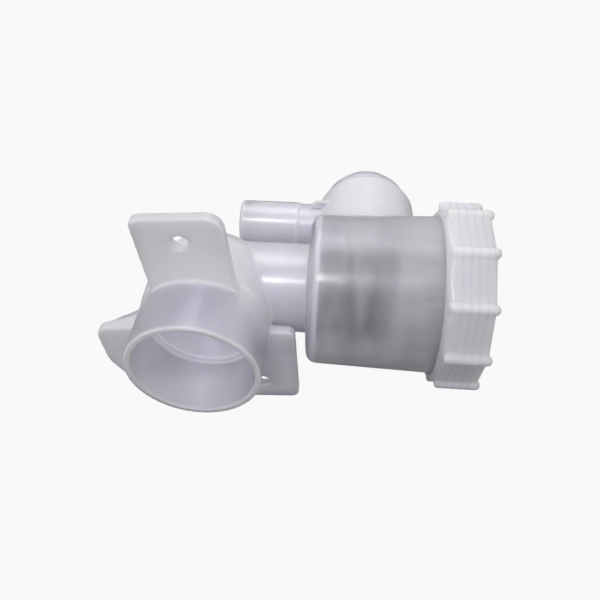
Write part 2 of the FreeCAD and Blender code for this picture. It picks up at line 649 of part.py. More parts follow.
def make_guide_sleeve():
    """The sleeve that carries the nose: a snap button, a spring seat and a guide tube."""
    body = new_body("guide_sleeve")
    turned(body, "sleeve_form", [
        ("x_button", "zero"),
        ("x_button", "button_radius"),
        ("x_button_head", "button_radius"),
        ("x_button_head", "button_neck"),
        ("x_flange", "button_neck"),
        ("x_flange", "flange_radius"),
        ("x_sleeve_floor", "flange_radius"),
        ("x_sleeve_floor", "centring_radius"),
        ("x_step", "centring_radius"),
        ("x_step", "sleeve_radius"),
        ("x_bush_seat", "sleeve_radius"),
        ("x_bush_seat", "sleeve_bore"),
        ("x_sleeve_floor", "sleeve_bore"),
        ("x_sleeve_floor", "zero"),
    ], on_axis)
    hole = new_sketch(body, "pin_hole_outline", "XY_Plane", on_axis)
    circle(hole, "x_pin", "zero", "pin_hole")
    pulled(body, "pin_holes", hole, "pin_length", cut=True, midplane=True)
    return body


def make_guide_bush():
    """The bush that closes the sleeve, guides the rod and stops its collar."""
    body = new_body("guide_bush")
    turned(body, "bush_form", [
        ("x_bush_inner", "rod_hole"),
        ("x_bush_inner", "plug_radius"),
        ("x_bush_seat", "plug_radius"),
        ("x_bush_seat", "sleeve_radius"),
        ("x_sleeve_end", "sleeve_radius"),
        ("x_sleeve_end", "rod_hole"),
    ], on_axis)
    return body


def make_pull_rod():
    """The pull rod: a tail for the inner spring, a stop collar, and a flat eye outside."""
    body = new_body("pull_rod")
    turned(body, "rod_form", [
        ("x_tail", "zero"),
        ("x_tail", "tail_radius"),
        ("x_collar", "tail_radius"),
        ("x_collar", "collar_radius"),
        ("x_collar_back", "collar_radius"),
        ("x_collar_back", "rod_radius"),
        ("x_eye_end", "rod_radius", "eye_round"),
        ("x_eye_end", "zero"),
    ], on_axis)
    flats = new_sketch(body, "eye_flats_outline", "XZ_Plane", {"z": "-pipe_offset"})
    for face, edge in (("eye_half", "rod_radius"), ("-eye_half", "-rod_radius")):
        outline(flats, [("x_eye", face), ("x_eye_end", face), ("x_eye_end", edge), ("x_eye", edge)])
    pulled(body, "eye_flats", flats, "rod_width", cut=True, midplane=True)
    hole = new_sketch(body, "eye_hole_outline", "XY_Plane", on_axis)
    circle(hole, "x_eye_hole", "zero", "eye_hole")
    pulled(body, "eye_bore", hole, "rod_width", cut=True, midplane=True)
    hook_hole = new_sketch(body, "hook_hole_outline", "XZ_Plane", {"z": "-pipe_offset"})
    circle(hook_hole, "x_tail_hole", "zero", "tail_hole")
    pulled(body, "hook_hole", hook_hole, "rod_width", cut=True, midplane=True)
    return body


def make_anchor_pin():
    """The pin across the sleeve's closed end, which holds the inner spring."""
    pin = doc.addObject("Part::Cylinder", "anchor_pin")
    pin.Label = "anchor_pin"
    pin.setExpression("Radius", formula_of("pin_radius"))
    pin.setExpression("Height", formula_of("pin_length"))
    pin.setExpression("Placement.Base.x", formula_of("x_pin"))
    pin.setExpression("Placement.Base.y", formula_of("pipe_offset"))
    pin.setExpression("Placement.Base.z", "-" + formula_of("sleeve_radius"))
    return pin


def fixed_form(label, shape):
    """A sub-part whose shape comes from a formula, placed on the valve's axis."""
    feature = doc.addObject("Part::Feature", label)
    feature.Label = label
    feature.Shape = shape
    feature.Placement = Placement(Vector(0, size("pipe_offset"), 0), Rotation())
    return feature


def wave(offset):
    """Edges of the bellows' wall, offset from its middle line, from first to last fold."""
    folds = int(size("bellows_folds"))
    pitch = (size("x_last_fold") - size("x_first_fold")) / folds
    bend = pitch / 4
    half_wall = size("bellows_wall") / 2
    root = size("bellows_root") - half_wall + bend
    crest = size("bellows_root") + size("bellows_depth") - half_wall - bend
    edges = []

    def arc(x, radius, centre, start, end):
        """A bend about (x, centre), between two directions in degrees."""
        turns = [math.radians(angle) for angle in (start, (start + end) / 2, end)]
        points = [Vector(x + radius * math.cos(a), centre + radius * math.sin(a), 0) for a in turns]
        edges.append(Part.Arc(*points).toShape())

    def link(x, first, last):
        edges.append(Part.makeLine(Vector(x, first, 0), Vector(x, last, 0)))

    in_root, in_crest = bend - offset, bend + offset
    for fold in range(folds):
        x = size("x_first_fold") + fold * pitch
        arc(x, in_root, root, 270, 360)
        link(x + in_root, root, crest)
        arc(x + pitch / 2, in_crest, crest, 180, 0)
        link(x + pitch - in_root, crest, root)
        arc(x + pitch, in_root, root, 180, 270)
    return edges


def chain(names):
    """Straight edges through points named (along, radius)."""
    points = [Vector(size(along), size(radius), 0) for along, radius in names]
    return [Part.makeLine(a, b) for a, b in zip(points, points[1:])]


def make_rubber_bellows():
    """The rubber valve: nose, folded wall and sealing rim, turned from one outline."""
    half_wall = size("bellows_wall") / 2
    edges = chain([
        ("x_first_fold", "bellows_root"),
        ("x_nose_back", "bellows_root"),
        ("x_nose_back", "nose_radius"),
        ("x_nose_edge", "nose_radius"),
        ("x_seat", "nose_face"),
        ("x_seat", "zero"),
        ("x_recess", "zero"),
        ("x_recess", "nose_recess"),
        ("x_recess_lip", "nose_recess"),
        ("x_recess_lip", "nose_hole"),
        ("x_nose_back", "nose_hole"),
        ("x_nose_back", "bellows_inner"),
        ("x_first_fold", "bellows_inner"),
    ])
    edges += wave(-half_wall)
    edges += chain([
        ("x_last_fold", "bellows_inner"),
        ("x_rim_back", "bellows_inner"),
        ("x_rim_back", "rim_radius"),
        ("x_mouth", "rim_radius"),
        ("x_mouth", "rim_lip"),
        ("x_rim_lip", "rim_lip"),
        ("x_rim_lip", "rim_lip_inner"),
        ("x_mouth", "rim_lip_inner"),
        ("x_mouth", "bellows_root"),
        ("x_last_fold", "bellows_root"),
    ])
    edges += wave(half_wall)
    face = Part.Face(Part.Wire(Part.__sortEdges__(edges)))
    solid = face.revolve(Vector(), Vector(1, 0, 0), 360)
    return fixed_form("rubber_bellows", solid)


def bend_to(start, heading, end):
    """The arc that leaves a point along a heading and ends at another point."""
    chord = end - start
    along = chord * (1 / chord.Length)
    aside = heading - along * heading.dot(along)
    rise = chord.Length / 2 * math.tan(heading.getAngle(chord) / 2)
    middle = (start + end) * 0.5 + aside.normalize() * rise
    return Part.Arc(start, middle, end).toShape()


def biarc(start, heading, end, last_heading):
    """Two arcs from one point and heading to another, tangent where they meet."""
    gap = end - start
    sum_heading = heading + last_heading
    spread = 2 * (1 - heading.dot(last_heading))
    dot = gap.dot(sum_heading)
    reach = (math.sqrt(dot * dot + spread * gap.dot(gap)) - dot) / spread
    first = start + heading * reach
    second = end - last_heading * reach
    joint = (first + second) * 0.5
    turn = (second - first).normalize()
    return [bend_to(start, heading, joint), bend_to(joint, turn, end)]


def coil(points):
    """Arcs through (point, heading) pairs, a quarter turn from each to the next."""
    edges = []
    for (start, heading), (end, last_heading) in zip(points, points[1:]):
        edges += biarc(start, heading, end, last_heading)
    return edges


def on_helix(radius, turn, x, pitch):
    """A point of a helix about X and its heading. The turn is counted in quarters."""
    angle = turn * math.pi / 2
    point = Vector(x, radius * math.cos(angle), radius * math.sin(angle))
    lead = pitch / (2 * math.pi)
    heading = Vector(lead, -radius * math.sin(angle), radius * math.cos(angle))
    return point, heading.normalize()


def wire_along(edges, thickness):
    """A round wire swept along the edges, and the least gap between its turns."""
    path = Part.Wire(edges)
    start = path.Edges[0]
    section = Part.makeCircle(thickness / 2, start.valueAt(start.FirstParameter),
                              start.tangentAt(start.FirstParameter))
    solid = path.makePipeShell([Part.Wire(section)], True, False)
    step = thickness / 4
    points = path.discretize(Distance=step)
    apart = math.ceil(math.pi * thickness / step)
    gap = min(a.distanceToPoint(b) for i, a in enumerate(points) for b in points[i + apart:])
    return solid, gap - thickness


def make_outer_spring():
    """The closing spring, from the sleeve's seat to the washer, with closed end turns."""
    radius = size("spring_radius")
    thickness = size("spring_wire")
    first = size("x_sleeve_floor") + thickness / 2 + size("fit_gap")
    last = size("x_washer") - thickness / 2 - size("fit_gap")
    turns = int(size("spring_turns"))
    close = thickness + size("coil_gap")
    open_pitch = (last - first - 2 * close) / (turns - 2)
    points, x = [], first
    for quarter in range(4 * turns + 1):
        closed = quarter < 4 or quarter >= 4 * (turns - 1)
        pitch = close if closed else open_pitch
        at_change = quarter in (4, 4 * (turns - 1))
        slope = (close + open_pitch) / 2 if at_change else pitch
        points.append(on_helix(radius, quarter, x, slope))
        x += pitch / 4
    solid, gap = wire_along(coil(points), thickness)
    print(f"outer spring: least gap {gap:.2f} mm")
    return fixed_form("outer_spring", solid)


def make_inner_spring():
    """The lost-motion spring: a loop round the anchor pin, close turns, and a hook."""
    radius = size("inner_radius")
    thickness = size("inner_wire")
    bend = size("hook_radius")
    loop = size("x_pin") - size("pin_radius") - size("hook_gap") - thickness / 2 + radius
    first = loop + size("hook_straight")
    hook = size("x_tail_hole") - bend
    last = hook - size("hook_straight")
    turns = int(size("inner_turns"))
    lift = math.atan2(bend, radius) / (math.pi / 2)
    pitch = (last - first - 2 * bend) / (turns + 1 - lift / 2)
    up = Vector(0, 0, 1)
    points = [(Vector(first + bend, radius, bend), up)]
    for quarter in range(1, 4 * turns + 4):
        x = first + bend + (quarter - lift) * pitch / 4
        points.append(on_helix(radius, quarter, x, pitch))
    points.append((Vector(last - bend, radius, -bend), up))
    path = [
        Part.makeLine(Vector(first, -radius, 0), Vector(loop, -radius, 0)),
        bend_to(Vector(loop, -radius, 0), Vector(-1, 0, 0), Vector(loop - radius, 0, 0)),
        bend_to(Vector(loop - radius, 0, 0), Vector(0, 1, 0), Vector(loop, radius, 0)),
        Part.makeLine(Vector(loop, radius, 0), Vector(first, radius, 0)),
        bend_to(Vector(first, radius, 0), Vector(1, 0, 0), points[0][0]),
        *coil(points),
        bend_to(points[-1][0], up, Vector(last, radius, 0)),
        Part.makeLine(Vector(last, radius, 0), Vector(hook, radius, 0)),
        bend_to(Vector(hook, radius, 0), Vector(1, 0, 0), Vector(hook + bend, radius - bend, 0)),
        Part.makeLine(Vector(hook + bend, radius - bend, 0), Vector(hook + bend, -radius, 0)),
    ]
    solid, gap = wire_along(path, thickness)
    print(f"inner spring: least gap {gap:.2f} mm")
    return fixed_form("inner_spring", solid)


sub_parts = [
    make_valve_body(),
    make_screw_cap(),
    make_ring("press_ring", "x_rim_back", "x_ring_back", "press_ring_bore", "rim_radius"),
    make_ring("spring_washer", "x_washer", "x_washer_back", "washer_bore", "flange_radius"),
    make_rubber_bellows(),
    make_guide_sleeve(),
    make_guide_bush(),
    make_anchor_pin(),
    make_outer_spring(),
    make_inner_spring(),
    make_pull_rod(),
]
doc.recompute()

faults = [item.Name for item in doc.Objects if {"Invalid", "Error"} & set(item.State)]
for sub_part in sub_parts:
    if sub_part.Shape.isNull() or not sub_part.Shape.isValid():
        faults.append(sub_part.Label)
if faults:
    raise RuntimeError("not built: " + ", ".join(faults))

os.makedirs("parts", exist_ok=True)
for sub_part in sub_parts:
    shape = sub_part.Shape
    shape.exportStep(f"parts/{sub_part.Label}.step")
    box = shape.BoundBox
    print(f"{sub_part.Label}: {len(shape.Solids)} solid, {shape.Volume:.0f} mm3, "
          f"x {box.XMin:.1f}..{box.XMax:.1f}, y {box.YMin:.1f}..{box.YMax:.1f}, "
          f"z {box.ZMin:.1f}..{box.ZMax:.1f}")
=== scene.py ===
import math

import bmesh
import bpy
from mathutils import Matrix, Vector
from mathutils.bvhtree import BVHTree


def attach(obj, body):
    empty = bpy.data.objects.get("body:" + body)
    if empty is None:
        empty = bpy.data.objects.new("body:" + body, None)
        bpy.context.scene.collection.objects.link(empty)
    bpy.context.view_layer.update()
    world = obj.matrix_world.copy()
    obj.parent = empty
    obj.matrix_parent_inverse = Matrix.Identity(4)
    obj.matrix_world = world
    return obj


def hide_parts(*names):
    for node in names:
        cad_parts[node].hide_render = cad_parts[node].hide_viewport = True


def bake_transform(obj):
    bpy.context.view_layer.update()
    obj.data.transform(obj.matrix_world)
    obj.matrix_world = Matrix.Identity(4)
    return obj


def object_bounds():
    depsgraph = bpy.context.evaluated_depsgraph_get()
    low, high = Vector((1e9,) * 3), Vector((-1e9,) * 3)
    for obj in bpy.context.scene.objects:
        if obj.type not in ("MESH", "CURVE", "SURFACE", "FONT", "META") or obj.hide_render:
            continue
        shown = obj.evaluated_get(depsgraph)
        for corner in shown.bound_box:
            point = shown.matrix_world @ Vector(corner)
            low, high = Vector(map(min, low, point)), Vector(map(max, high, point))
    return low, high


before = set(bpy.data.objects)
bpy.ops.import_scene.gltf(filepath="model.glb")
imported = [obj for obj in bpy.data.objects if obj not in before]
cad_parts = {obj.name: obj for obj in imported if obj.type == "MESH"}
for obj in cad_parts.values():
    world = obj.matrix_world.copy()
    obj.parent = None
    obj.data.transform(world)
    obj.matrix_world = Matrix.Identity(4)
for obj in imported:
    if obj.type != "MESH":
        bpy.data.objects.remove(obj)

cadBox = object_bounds()
scene = bpy.context.scene
scene.view_settings.view_transform = "Standard"

# Forms are drawn in millimetres, in the part's frame, and brought to metres when a piece is done.
millimetre = 0.001
valveHeight = 39.8  # socket mouth to the axis of pipe, chamber, valve and cap
xAxis = Vector((1, 0, 0))
yAxis = Vector((0, 1, 0))
zAxis = Vector((0, 0, 1))
valveAxis = Vector((0, valveHeight, 0))  # a point on that axis
past = 1.5  # how far a cutter runs past the face that it opens
mergeDistance = 0.0005
roundingSteps = 5

screwThread = {  # shared by neck and cap, its ridge sunk a little into what carries it
    "pitch": 2.5, "height": 1.5, "sunk": 0.4, "halfRoot": 1.0, "halfCrest": 0.3, "stepsPerTurn": 72,
}


# Helpers for meshes.

def toMesh(form):
    mesh = bpy.data.meshes.new("form")
    form.to_mesh(mesh)
    form.free()
    return mesh


def drawLine(form, corners, closed=False):
    # corners are (place, rounding), and those with a rounding are bevelled once the line is there
    verts = [form.verts.new(place) for place, rounding in corners]
    pairs = list(zip(verts, verts[1:]))
    if closed:
        pairs.append((verts[-1], verts[0]))
    for pair in pairs:
        form.edges.new(pair)
    for vert, (place, rounding) in zip(verts, corners):
        if rounding:
            bmesh.ops.bevel(form, geom=[vert], offset=rounding, offset_type="OFFSET",
                            segments=roundingSteps, profile=0.5, affect="VERTICES", material=-1)


def turned(profile, centre=valveAxis, axis=xAxis, side=yAxis, steps=96, closed=False):
    # profile is (along, radius) or (along, radius, rounding), turned about the axis through centre
    form = bmesh.new()
    corners = [(centre + axis * along + side * radius, rounding[0] if rounding else 0)
               for along, radius, *rounding in profile]
    drawLine(form, corners, closed)
    bmesh.ops.spin(form, geom=form.verts[:] + form.edges[:], cent=centre, axis=axis,
                   angle=math.tau, steps=steps, use_merge=True)
    bmesh.ops.remove_doubles(form, verts=form.verts[:], dist=mergeDistance)
    bmesh.ops.recalc_face_normals(form, faces=form.faces[:])
    return toMesh(form)


def turnedAlongY(profile, centre, steps=96):
    return turned(profile, centre=centre, axis=yAxis, side=xAxis, steps=steps)


def plate(corners, thickness, place=Matrix.Identity(4)):
    # corners are (place, rounding) in the plate's own plane, pulled along thickness and then placed
    form = bmesh.new()
    drawLine(form, corners, closed=True)
    flat = bmesh.ops.contextual_create(form, geom=form.edges[:])["faces"]
    pulled = bmesh.ops.extrude_face_region(form, geom=flat)["geom"]
    top = [part for part in pulled if isinstance(part, bmesh.types.BMVert)]
    bmesh.ops.translate(form, verts=top, vec=thickness)
    bmesh.ops.transform(form, matrix=place, verts=form.verts[:])
    bmesh.ops.recalc_face_normals(form, faces=form.faces[:])
    return toMesh(form)


def thread(start, turns, root, crest):
    # one ridge turned about the valve's axis, from its root's radius to its crest's
    halfRoot = screwThread["halfRoot"]
    halfCrest = screwThread["halfCrest"]
    form = bmesh.new()
    section = [(-halfRoot, root), (-halfCrest, crest), (halfCrest, crest), (halfRoot, root)]
    verts = [form.verts.new(valveAxis + xAxis * (start + along) + yAxis * radius)
             for along, radius in section]
    stepsPerTurn = screwThread["stepsPerTurn"]
    bmesh.ops.spin(form, geom=[form.faces.new(verts)], cent=valveAxis, axis=xAxis,
                   angle=math.tau * turns, steps=round(turns * stepsPerTurn),
                   dvec=xAxis * (screwThread["pitch"] / stepsPerTurn))
    bmesh.ops.recalc_face_normals(form, faces=form.faces[:])
    return toMesh(form)


def worked(mesh, modifiers):
    # the mesh that a list of modifiers, each a kind and its settings, makes of this one
    holder = bpy.data.objects.new("holder", mesh)
    scene.collection.objects.link(holder)
    for kind, settings in modifiers:
        modifier = holder.modifiers.new(kind.title(), kind)
        for name, value in settings.items():
            setattr(modifier, name, value)
    evaluated = holder.evaluated_get(bpy.context.evaluated_depsgraph_get())
    made = bpy.data.meshes.new_from_object(evaluated)
    bpy.data.objects.remove(holder)
    return made


def combined(base, operation, others):
    parts = [bpy.data.objects.new("part", other) for other in others]
    for part in parts:
        scene.collection.objects.link(part)
    made = worked(base, [("BOOLEAN", {"object": part, "operation": operation, "solver": "MANIFOLD"})
                         for part in parts])
    for part in parts:
        bpy.data.objects.remove(part)
    return made


def smoothing(rounds):
    return "SMOOTH", {"factor": 0.5, "iterations": rounds}


def moulded(mesh, voxel, rounds, most):
    # even, slightly softened edges and filled corners, as a moulded wall has them
    voxels = ("REMESH", {"mode": "VOXEL", "voxel_size": voxel, "use_smooth_shade": True})
    soft = worked(mesh, [voxels, smoothing(rounds)])
    triangles = 2 * len(soft.polygons)
    print("voxel mesh:", triangles, "triangles")
    if triangles > most:
        soft = worked(soft, [("DECIMATE", {"ratio": most / triangles})])
    return soft


def mark(mesh, name, values):
    mesh.attributes.new(name, "FLOAT", "POINT").data.foreach_set("value", values)


def markEdges(mesh, rounds):
    # how far strong smoothing would move each point along its normal: high on rims, edges and corners
    flattened = worked(mesh, [smoothing(rounds)])
    moved = [abs((point.co - flat.co).dot(point.normal))
             for point, flat in zip(mesh.vertices, flattened.vertices)]
    mark(mesh, "edge", moved)
    print("edge marks up to", round(max(moved), 2), "mean", round(sum(moved) / len(moved), 3))


def markWalls(mesh, deepest):
    # how thick the plastic is behind each point: the distance to the wall's other face
    tree = BVHTree.FromPolygons([point.co for point in mesh.vertices],
                                [face.vertices for face in mesh.polygons])
    skin = 0.2  # the search starts this far under the surface
    walls = []
    for point in mesh.vertices:
        inward = -point.normal
        *hit, distance = tree.ray_cast(point.co + inward * skin, inward, deepest)
        walls.append(deepest if distance is None else distance + skin)
    mark(mesh, "wall", walls)
    print("middle wall thickness", round(sorted(walls)[len(walls) // 2], 2), "mm")


def piece(name, mesh, finish):
    mesh.transform(Matrix.Scale(millimetre, 4))
    mesh.name = name
    mesh.polygons.foreach_set("use_smooth", [True] * len(mesh.polygons))
    mesh.materials.clear()
    mesh.materials.append(finish)
    made = bpy.data.objects.new(name, mesh)
    scene.collection.objects.link(made)
    return made


# Helpers for materials.

def fromHex(text):
    # an sRGB colour as Blender's linear one
    parts = [int(text[start:start + 2], 16) / 255 for start in (1, 3, 5)]
    return [part / 12.92 if part <= 0.04045 else ((part + 0.055) / 1.055) ** 2.4 for part in parts] + [1]


def patternScale(size):
    # a texture's scale for a pattern of that many millimetres
    return 1 / (size * millimetre)


def addNode(tree, kind, inputs=None, links=None, **settings):
    node = tree.nodes.new(kind)
    for name, value in settings.items():
        setattr(node, name, value)
    for name, value in (inputs or {}).items():
        node.inputs[name].default_value = value
    for name, source in (links or {}).items():
        tree.links.new(source, node.inputs[name])
    return node


def newMaterial(name):
    material = bpy.data.materials.new(name)
    material.use_nodes = True
    material.node_tree.nodes.clear()
    return material, material.node_tree


def finishWith(material, tree, shader):
    addNode(tree, "ShaderNodeOutputMaterial", links={"Surface": shader.outputs[0]})
    return material


# Natural polypropylene, injection moulded: milky, lets light through scattered, with a waxy gloss.
# Lengths in these looks are in millimetres, and a span is the part of a pattern's values that is used.

polypropylene = {
    "cloudSize": 14,  # milky clouds where the melt cooled slower
    "flowSize": 9, "flowStretch": (1.2, 0.2, 0.2), "flowWarp": 0.4,  # bands square to the valve's axis
    "flowShare": 0.45,  # of the bands beside the clouds in the colour
    "grainSize": 0.9, "grainShare": 0.08,  # drawn coarser than the mould's polish so that it shows
    "colourSpan": (0.4, 1.0), "roughSpan": (0.3, 0.7), "bandSpan": (0.36, 0.66),
    "smoothest": 0.29, "dullest": 0.36, "relief": 0.10, "reliefDepth": 0.5,
    "ior": 1.49, "coat": 0.12, "coatRoughness": 0.12,
    "scatter": 1.0, "scatterDepth": 10, "scatterColours": (1.1, 1.08, 0.92),  # bluish over a dark ground
    # painted light: the near-white that rims and corners are painted, for the scattered light that they
    # gather
    "paintedRimLight": "#FCFBFE", "edgeStart": 0.10, "edgeFull": 0.36,  # what smoothing takes off an edge
    "rimClear": 0.2,  # how clear a rim stays beside its wall
    "thinWall": 2.8, "thickWall": 3.5, "thickClear": 0.4,  # and how clear a thick wall stays
    "bandClear": (1.08, 0.86),  # how clear the least and the most milky band is
    "lampColour": "#C9C9D0",  # what each face lets through of a lamp's light
    "threadColour": "#ECEBF3", "threadFade": 2, "ridgeStart": -0.6,  # of a wave from -1 to 1
}
bodyPlastic = {"deep": "#F1EEF9", "pale": "#FAF8FE", "clear": 0.80}
capPlastic = {"deep": "#F8F5FD", "pale": "#FEFCFF", "clear": 0.12, "thread": (77.5, 90.5)}


def threadBands(tree, where, start, end):
    # the thread inside a milky wall shows through as soft bands, 1 on a ridge and 0 elsewhere
    along = addNode(tree, "ShaderNodeSeparateXYZ", links={"Vector": where}).outputs["X"]
    turn = addNode(tree, "ShaderNodeMath", operation="MULTIPLY", links={0: along},
                   inputs={1: math.tau / (screwThread["pitch"] * millimetre)})
    wave = addNode(tree, "ShaderNodeMath", operation="SINE", links={0: turn.outputs[0]})
    ridge = addNode(tree, "ShaderNodeMapRange", links={"Value": wave.outputs[0]},
                    inputs={"From Min": polypropylene["ridgeStart"], "From Max": 1.0})
    start, end, fade = (length * millimetre for length in (start, end, polypropylene["threadFade"]))
    rise = addNode(tree, "ShaderNodeMapRange", links={"Value": along},
                   inputs={"From Min": start, "From Max": start + fade})
    fall = addNode(tree, "ShaderNodeMapRange", links={"Value": along},
                   inputs={"From Min": end, "From Max": end - fade})
    span = addNode(tree, "ShaderNodeMath", operation="MULTIPLY",
                   links={0: rise.outputs["Result"], 1: fall.outputs["Result"]})
    return addNode(tree, "ShaderNodeMath", operation="MULTIPLY",
                   links={0: ridge.outputs["Result"], 1: span.outputs[0]}).outputs[0]


def naturalPolypropylene(name, look):
    plastic = polypropylene
    material, tree = newMaterial(name)
    where = addNode(tree, "ShaderNodeTexCoord").outputs["Object"]
    clouds = addNode(tree, "ShaderNodeTexNoise", links={"Vector": where},
                     inputs={"Scale": patternScale(plastic["cloudSize"])}).outputs["Fac"]
    stretched = addNode(tree, "ShaderNodeMapping", links={"Vector": where},
                        inputs={"Scale": plastic["flowStretch"]})
    flow = addNode(tree, "ShaderNodeTexNoise", links={"Vector": stretched.outputs["Vector"]},
                   inputs={"Scale": patternScale(plastic["flowSize"]),
                           "Distortion": plastic["flowWarp"]}).outputs["Fac"]
    grain = addNode(tree, "ShaderNodeTexNoise", links={"Vector": where},
                    inputs={"Scale": patternScale(plastic["grainSize"])}).outputs["Fac"]

    # the walls' colour runs with the clouds and bands
    mixed = addNode(tree, "ShaderNodeMath", operation="MULTIPLY_ADD",
                    inputs={1: plastic["flowShare"]}, links={0: flow, 2: clouds})
    share = addNode(tree, "ShaderNodeMapRange", links={"Value": mixed.outputs[0]},
                    inputs={"From Min": plastic["colourSpan"][0], "From Max": plastic["colourSpan"][1]})
    walls = addNode(tree, "ShaderNodeMix", data_type="RGBA", links={"Factor": share.outputs["Result"]},
                    inputs={"A": fromHex(look["deep"]), "B": fromHex(look["pale"])})
    if "thread" in look:
        walls = addNode(tree, "ShaderNodeMix", data_type="RGBA",
                        inputs={"B": fromHex(plastic["threadColour"])},
                        links={"Factor": threadBands(tree, where, *look["thread"]),
                               "A": walls.outputs["Result"]})

    # painted light: corners and rims are painted whiter, standing in for the scattered light that they
    # gather, and they are also made less clear than the walls
    edge = addNode(tree, "ShaderNodeAttribute", attribute_name="edge")
    rims = addNode(tree, "ShaderNodeMapRange", links={"Value": edge.outputs["Fac"]},
                   inputs={"From Min": plastic["edgeStart"], "From Max": plastic["edgeFull"]})
    colour = addNode(tree, "ShaderNodeMix", data_type="RGBA", inputs={"B": fromHex(plastic["paintedRimLight"])},
                     links={"Factor": rims.outputs["Result"], "A": walls.outputs["Result"]})
    atRims = addNode(tree, "ShaderNodeMapRange", links={"Value": rims.outputs["Result"]},
                     inputs={"To Min": 1.0, "To Max": plastic["rimClear"]})

    # a thicker wall is milkier, and so is a pale band; the cap has no wall marks and counts as thin
    wall = addNode(tree, "ShaderNodeAttribute", attribute_name="wall")
    sight = addNode(tree, "ShaderNodeMapRange", links={"Value": wall.outputs["Fac"]},
                    inputs={"From Min": plastic["thinWall"], "From Max": plastic["thickWall"],
                            "To Min": look["clear"], "To Max": look["clear"] * plastic["thickClear"]})
    bands = addNode(tree, "ShaderNodeMapRange", links={"Value": flow},
                    inputs={"From Min": plastic["bandSpan"][0], "From Max": plastic["bandSpan"][1],
                            "To Min": plastic["bandClear"][0], "To Max": plastic["bandClear"][1]})
    banded = addNode(tree, "ShaderNodeMath", operation="MULTIPLY",
                     links={0: sight.outputs["Result"], 1: bands.outputs["Result"]})
    clearness = addNode(tree, "ShaderNodeMath", operation="MULTIPLY",
                        links={0: banded.outputs[0], 1: atRims.outputs["Result"]})

    rough = addNode(tree, "ShaderNodeMapRange", links={"Value": clouds},
                    inputs={"From Min": plastic["roughSpan"][0], "From Max": plastic["roughSpan"][1],
                            "To Min": plastic["smoothest"], "To Max": plastic["dullest"]})
    relief = addNode(tree, "ShaderNodeMath", operation="MULTIPLY_ADD",
                     inputs={1: plastic["grainShare"]}, links={0: grain, 2: clouds})
    bump = addNode(tree, "ShaderNodeBump", links={"Height": relief.outputs[0]},
                   inputs={"Strength": plastic["relief"],
                           "Distance": plastic["reliefDepth"] * millimetre})
    shader = addNode(tree, "ShaderNodeBsdfPrincipled",
                     inputs={"IOR": plastic["ior"], "Coat Weight": plastic["coat"],
                             "Coat Roughness": plastic["coatRoughness"],
                             "Subsurface Weight": plastic["scatter"],
                             "Subsurface Scale": plastic["scatterDepth"] * millimetre,
                             "Subsurface Radius": plastic["scatterColours"]},
                     links={"Base Color": colour.outputs["Result"], "Roughness": rough.outputs["Result"],
                            "Transmission Weight": clearness.outputs[0],
                            "Normal": bump.outputs["Normal"]})

    # lamps reach what lies behind the milky walls
    lamp = addNode(tree, "ShaderNodeBsdfTransparent", inputs={"Color": fromHex(plastic["lampColour"])})
    path = addNode(tree, "ShaderNodeLightPath")
    lit = addNode(tree, "ShaderNodeMixShader",
                  links={0: path.outputs["Is Shadow Ray"], 1: shader.outputs[0], 2: lamp.outputs[0]})
    return finishWith(material, tree, lit)


# Opaque materials: one pattern sets the colour, how dull the surface is and its relief.

epdmRubber = {  # black EPDM rubber, compression moulded: dull, with a grey bloom
    "patternSize": 4, "detail": 4, "roughness": 0.6, "colourSpan": (0.35, 0.75),
    "low": "#1C1E27", "high": "#353946", "smoothest": 0.45, "dullest": 0.7,
    "reliefSize": 0.5, "relief": 0.2, "reliefDepth": 0.2,
    "shader": {"IOR": 1.5},
}
acetal = {  # white acetal, injection moulded: opaque, slippery, with a faint grain
    "patternSize": 3, "detail": 3, "roughness": 0.5, "colourSpan": (0.3, 0.7),
    "low": "#DCDBD4", "high": "#ECEBE6", "smoothest": 0.28, "dullest": 0.42,
    "relief": 0.15, "reliefDepth": 0.1,
    "shader": {"IOR": 1.48, "Subsurface Weight": 0.15, "Subsurface Scale": 1 * millimetre},
}
springSteel = {  # stainless steel, drawn through a die: bright, with fine lines and dull patches
    "patternSize": 0.6, "detail": 4, "roughness": 0.7, "colourSpan": (0.3, 0.7),
    "low": "#A9A9AB", "high": "#C6C7C9", "smoothest": 0.22, "dullest": 0.42,
    "relief": 0.1, "reliefDepth": 0.1,
    "shader": {"Metallic": 1.0},
}


def opaqueFinish(name, look):
    material, tree = newMaterial(name)
    where = addNode(tree, "ShaderNodeTexCoord").outputs["Object"]
    pattern = addNode(tree, "ShaderNodeTexNoise", links={"Vector": where},
                      inputs={"Scale": patternScale(look["patternSize"]), "Detail": look["detail"],
                              "Roughness": look["roughness"]}).outputs["Fac"]
    relief = pattern
    if "reliefSize" in look:
        relief = addNode(tree, "ShaderNodeTexNoise", links={"Vector": where},
                         inputs={"Scale": patternScale(look["reliefSize"])}).outputs["Fac"]
    share = addNode(tree, "ShaderNodeMapRange", links={"Value": pattern},
                    inputs={"From Min": look["colourSpan"][0], "From Max": look["colourSpan"][1]})
    colour = addNode(tree, "ShaderNodeMix", data_type="RGBA", links={"Factor": share.outputs["Result"]},
                     inputs={"A": fromHex(look["low"]), "B": fromHex(look["high"])})
    rough = addNode(tree, "ShaderNodeMapRange", links={"Value": pattern},
                    inputs={"To Min": look["smoothest"], "To Max": look["dullest"]})
    bump = addNode(tree, "ShaderNodeBump", links={"Height": relief},
                   inputs={"Strength": look["relief"], "Distance": look["reliefDepth"] * millimetre})
    shader = addNode(tree, "ShaderNodeBsdfPrincipled", inputs=look["shader"],
                     links={"Base Color": colour.outputs["Result"], "Roughness": rough.outputs["Result"],
                            "Normal": bump.outputs["Normal"]})
    return finishWith(material, tree, shader)


